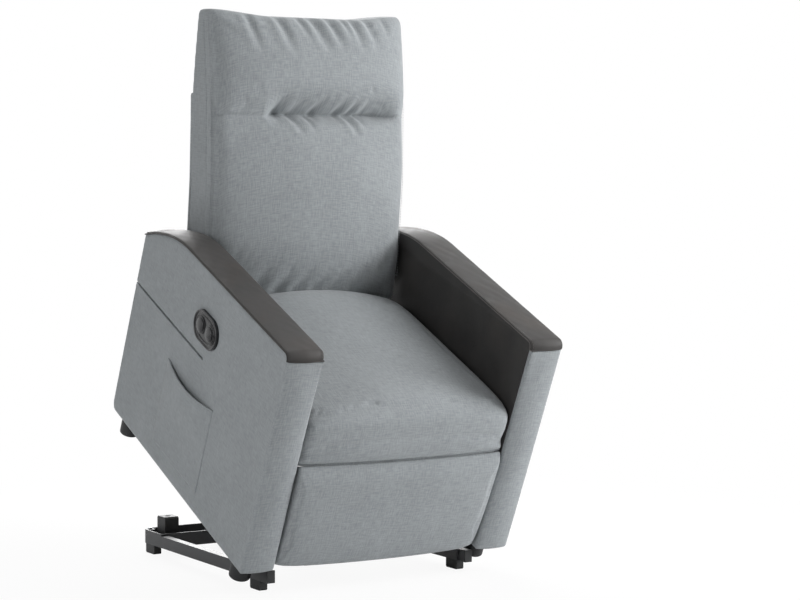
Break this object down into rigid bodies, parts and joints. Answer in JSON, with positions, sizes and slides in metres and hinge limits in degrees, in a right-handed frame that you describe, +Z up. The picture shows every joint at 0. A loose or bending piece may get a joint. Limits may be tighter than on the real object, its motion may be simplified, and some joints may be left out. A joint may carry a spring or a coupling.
{
  "type": "lift recliner chair",
  "caption": "Upholstered lift recliner with padded arms, side pocket, push-button hand control, swing-out footrest, reclining back and a powered link base that raises and tips the chair",
  "frame": {"origin": "On the floor, at the centre of the footprint with the lift fully raised", "axes": "+Z up, -Y the way the sitter faces, +X the sitter's left"},
  "size_m": [0.719, 0.9043, 1.309],
  "materials": {
    "cloth": "woven light grey linen-look cloth",
    "cloth_dark": "woven grey linen-look cloth",
    "leather": "soft dark brown-grey leather, satin",
    "leather_dark": "soft near-black leather, satin",
    "steel": "satin black powder coat",
    "plastic": "matt black plastic",
    "zinc": "zinc plated",
    "wood": "raw plywood"
  },
  "bodies": {
    "base": {"base_rails": "steel", "rail_plugs": "plastic", "foot_blocks": "plastic", "rear_channel": "steel", "rest_blocks": "plastic", "base_brackets": "steel", "actuator_anchor": "steel", "base_pins": "zinc", "base_bolts": "zinc"},
    "lift_arms": {"lift_arms": "steel", "torque_tube": "steel", "lever_plates": "steel", "lever_pin": "zinc"},
    "front_links": {"front_links": "steel"},
    "actuator": {"actuator_body": "plastic", "lift_motor": "steel"},
    "rod": {"actuator_rod": "zinc"},
    "chair": {"cheek_plates": "steel", "cross_tubes": "steel", "chair_pins": "zinc", "mech_plates": "steel", "mech_pins": "zinc", "seat_rails": "wood", "seat_springs": "zinc", "seat_cushion": "cloth", "rest_beam": "wood", "right_panel": "cloth_dark", "left_panel": "cloth_dark", "right_arm_top": "leather", "left_arm_top": "leather", "arm_linings": "leather_dark", "side_pocket": "cloth_dark", "control_bezel": "plastic", "chair_feet": "plastic", "rear_panel": "cloth_dark", "power_inlet": "plastic", "hinge_plates": "steel", "hinge_pins": "zinc"},
    "button_up": {"button_up": "steel"},
    "button_down": {"button_down": "steel"},
    "footrest_arms": {"footrest_arms": "steel", "footrest_tube": "steel", "arm_rivets": "zinc"},
    "footrest_links": {"footrest_links": "steel"},
    "footrest_followers": {"footrest_followers": "steel"},
    "footrest_struts": {"footrest_struts": "steel", "strut_rivets": "zinc"},
    "footrest": {"footrest_brackets": "steel", "bracket_rivets": "zinc", "footrest_board": "wood", "footrest_pad": "cloth"},
    "back": {"back_brackets": "steel", "back_frame": "cloth_dark", "back_shell": "cloth", "lumbar_cushion": "cloth", "headrest": "cloth"}
  },
  "joints": [
    {"name": "lift", "type": "hinge", "parent": "base", "child": "lift_arms", "pos_m": [0, -0.12533, 0.08102], "axis": [-1, 0, 0], "range_deg": [0, 31.4]},
    {"name": "chair_tilt", "type": "hinge", "parent": "lift_arms", "child": "chair", "pos_m": [0, 0.17511, 0.33704], "axis": [-1, 0, 0], "range_deg": [-7.2, 0.2]},
    {"name": "front_link_swing", "type": "hinge", "parent": "base", "child": "front_links", "pos_m": [0, -0.16278, 0.07706], "axis": [-1, 0, 0], "range_deg": [-0.2, 41.4]},
    {"name": "actuator_swing", "type": "hinge", "parent": "base", "child": "actuator", "pos_m": [0, 0.3355, 0.06], "axis": [-1, 0, 0], "range_deg": [-0.2, 4.2]},
    {"name": "rod_slide", "type": "slide", "parent": "actuator", "child": "rod", "axis": [0, -0.9815, 0.1914], "range_m": [-0.046, 0.001]},
    {"name": "back_recline", "type": "hinge", "parent": "chair", "child": "back", "pos_m": [0, 0.20312, 0.61347], "axis": [-1, 0, 0], "range_deg": [0, 50]},
    {"name": "footrest_raise", "type": "hinge", "parent": "chair", "child": "footrest_arms", "pos_m": [0, -0.13152, 0.33483], "axis": [-1, 0, 0], "range_deg": [0, 84]},
    {"name": "lower_link_turn", "type": "hinge", "parent": "footrest_arms", "child": "footrest_links", "pos_m": [0, -0.06566, 0.21425], "axis": [-1, 0, 0], "range_deg": [-84.5, 0.5]},
    {"name": "footrest_turn", "type": "hinge", "parent": "footrest_links", "child": "footrest", "pos_m": [0, -0.2509, 0.26399], "axis": [-1, 0, 0], "range_deg": [-0.5, 84.5]},
    {"name": "upper_link_turn", "type": "hinge", "parent": "footrest_arms", "child": "footrest_followers", "pos_m": [0, -0.04195, 0.17085], "axis": [-1, 0, 0], "range_deg": [-84.5, 0.5]},
    {"name": "strut_swing", "type": "hinge", "parent": "chair", "child": "footrest_struts", "pos_m": [0, -0.08707, 0.32287], "axis": [-1, 0, 0], "range_deg": [-0.5, 84.5]},
    {"name": "press_up", "type": "slide", "parent": "chair", "child": "button_up", "axis": [1, 0, 0], "range_m": [0, 0.0025], "stiffness_N_per_m": 1200},
    {"name": "press_down", "type": "slide", "parent": "chair", "child": "button_down", "axis": [1, 0, 0], "range_m": [0, 0.0025], "stiffness_N_per_m": 1200}
  ],
  "couplings": [
    {"joint": "chair_tilt", "follows": "lift", "ratio": -0.22075},
    {"joint": "front_link_swing", "follows": "lift", "ratio": 1.3082},
    {"joint": "actuator_swing", "follows": "lift", "ratio": 0.11604},
    {"joint": "rod_slide", "follows": "lift", "m_per_rad": -0.07922},
    {"joint": "lower_link_turn", "follows": "footrest_raise", "ratio": -1},
    {"joint": "footrest_turn", "follows": "footrest_raise", "ratio": 1},
    {"joint": "upper_link_turn", "follows": "footrest_raise", "ratio": -1},
    {"joint": "strut_swing", "follows": "footrest_raise", "ratio": 1}
  ]
}
